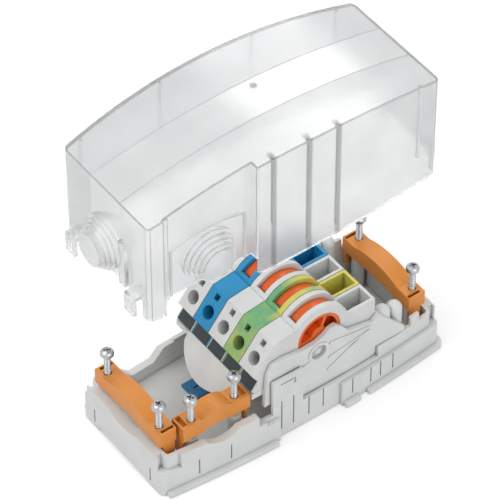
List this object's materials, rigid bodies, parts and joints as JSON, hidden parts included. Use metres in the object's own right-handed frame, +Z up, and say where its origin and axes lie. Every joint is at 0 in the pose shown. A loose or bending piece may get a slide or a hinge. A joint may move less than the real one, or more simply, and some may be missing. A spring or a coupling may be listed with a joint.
{
  "type": "power distribution block",
  "caption": "Power distribution block: bowed grey tray with turn-lock tap terminals, screwed cable clamps and a clear arched cover with stepped cable outlets, lifted off above it.",
  "frame": {"origin": "middle of the tray's underside", "axes": "+X along the tray towards the end away from the branch outlet, -Y towards the branch outlet's side, +Z up"},
  "size_m": [0.2056, 0.0925, 0.216],
  "materials": {
    "grey_plastic": "fine moulded texture",
    "white_plastic": "satin moulded",
    "blue_plastic": "satin moulded",
    "green_yellow_plastic": "satin moulded",
    "orange_plastic": "fine moulded texture",
    "wheel_plastic": "satin moulded",
    "zinc": "bright zinc plate",
    "contact_metal": "tin plate",
    "spring_steel": "bright",
    "clear_plastic": "clear moulded"
  },
  "bodies": {
    "base": {"base_tray": "grey_plastic", "floor_clip": "blue_plastic", "terminal_carrier": "grey_plastic", "terminal_1": "white_plastic", "terminal_2": "blue_plastic", "terminal_3": "white_plastic", "terminal_4": "green_yellow_plastic", "terminal_5": "white_plastic", "contact_1": "contact_metal", "contact_2": "contact_metal", "contact_3": "contact_metal", "contact_4": "contact_metal", "contact_5": "contact_metal", "spring_1": "spring_steel", "spring_2": "spring_steel", "spring_3": "spring_steel", "spring_4": "spring_steel", "spring_5": "spring_steel"},
    "left_bar": {"left_clamp": "orange_plastic"},
    "branch_bar": {"branch_clamp": "orange_plastic"},
    "right_bar": {"right_clamp": "orange_plastic"},
    "left_screw_pair": {"left_screws": "zinc"},
    "branch_screw_pair": {"branch_screws": "zinc"},
    "right_screw_pair": {"right_screws": "zinc"},
    "cover_shell": {"cover": "clear_plastic"},
    "turn_lock_1": {"wheel_1": "wheel_plastic"},
    "turn_lock_2": {"wheel_2": "wheel_plastic"},
    "turn_lock_3": {"wheel_3": "wheel_plastic"},
    "turn_lock_4": {"wheel_4": "wheel_plastic"},
    "turn_lock_5": {"wheel_5": "wheel_plastic"}
  },
  "joints": [
    {"name": "turn_lock_1_turn", "type": "hinge", "parent": "base", "child": "turn_lock_1", "pos_m": [0.012, 0.0276, 0.058], "axis": [0, 1, 0], "range_deg": [0, 75]},
    {"name": "turn_lock_2_turn", "type": "hinge", "parent": "base", "child": "turn_lock_2", "pos_m": [0.012, 0.0138, 0.058], "axis": [0, 1, 0], "range_deg": [0, 75]},
    {"name": "turn_lock_3_turn", "type": "hinge", "parent": "base", "child": "turn_lock_3", "pos_m": [0.012, 0, 0.058], "axis": [0, 1, 0], "range_deg": [0, 75]},
    {"name": "turn_lock_4_turn", "type": "hinge", "parent": "base", "child": "turn_lock_4", "pos_m": [0.012, -0.0138, 0.058], "axis": [0, 1, 0], "range_deg": [0, 75]},
    {"name": "turn_lock_5_turn", "type": "hinge", "parent": "base", "child": "turn_lock_5", "pos_m": [0.012, -0.0276, 0.058], "axis": [0, 1, 0], "range_deg": [0, 75]},
    {"name": "left_clamp_close", "type": "slide", "parent": "base", "child": "left_bar", "axis": [0, 0, 1], "range_m": [-0.003, 0]},
    {"name": "left_screws_drive", "type": "slide", "parent": "left_bar", "child": "left_screw_pair", "axis": [0, 0, 1], "range_m": [-0.0142, 0]},
    {"name": "branch_clamp_close", "type": "slide", "parent": "base", "child": "branch_bar", "axis": [0, 0, 1], "range_m": [-0.003, 0]},
    {"name": "branch_screws_drive", "type": "slide", "parent": "branch_bar", "child": "branch_screw_pair", "axis": [0, 0, 1], "range_m": [-0.0142, 0]},
    {"name": "right_clamp_close", "type": "slide", "parent": "base", "child": "right_bar", "axis": [0, 0, 1], "range_m": [-0.003, 0]},
    {"name": "right_screws_drive", "type": "slide", "parent": "right_bar", "child": "right_screw_pair", "axis": [0, 0, 1], "range_m": [-0.0142, 0]},
    {"name": "cover_lift", "type": "slide", "parent": "base", "child": "cover_shell", "axis": [-0.0532, 0, 0.9986], "range_m": [-0.122, 0]}
  ]
}
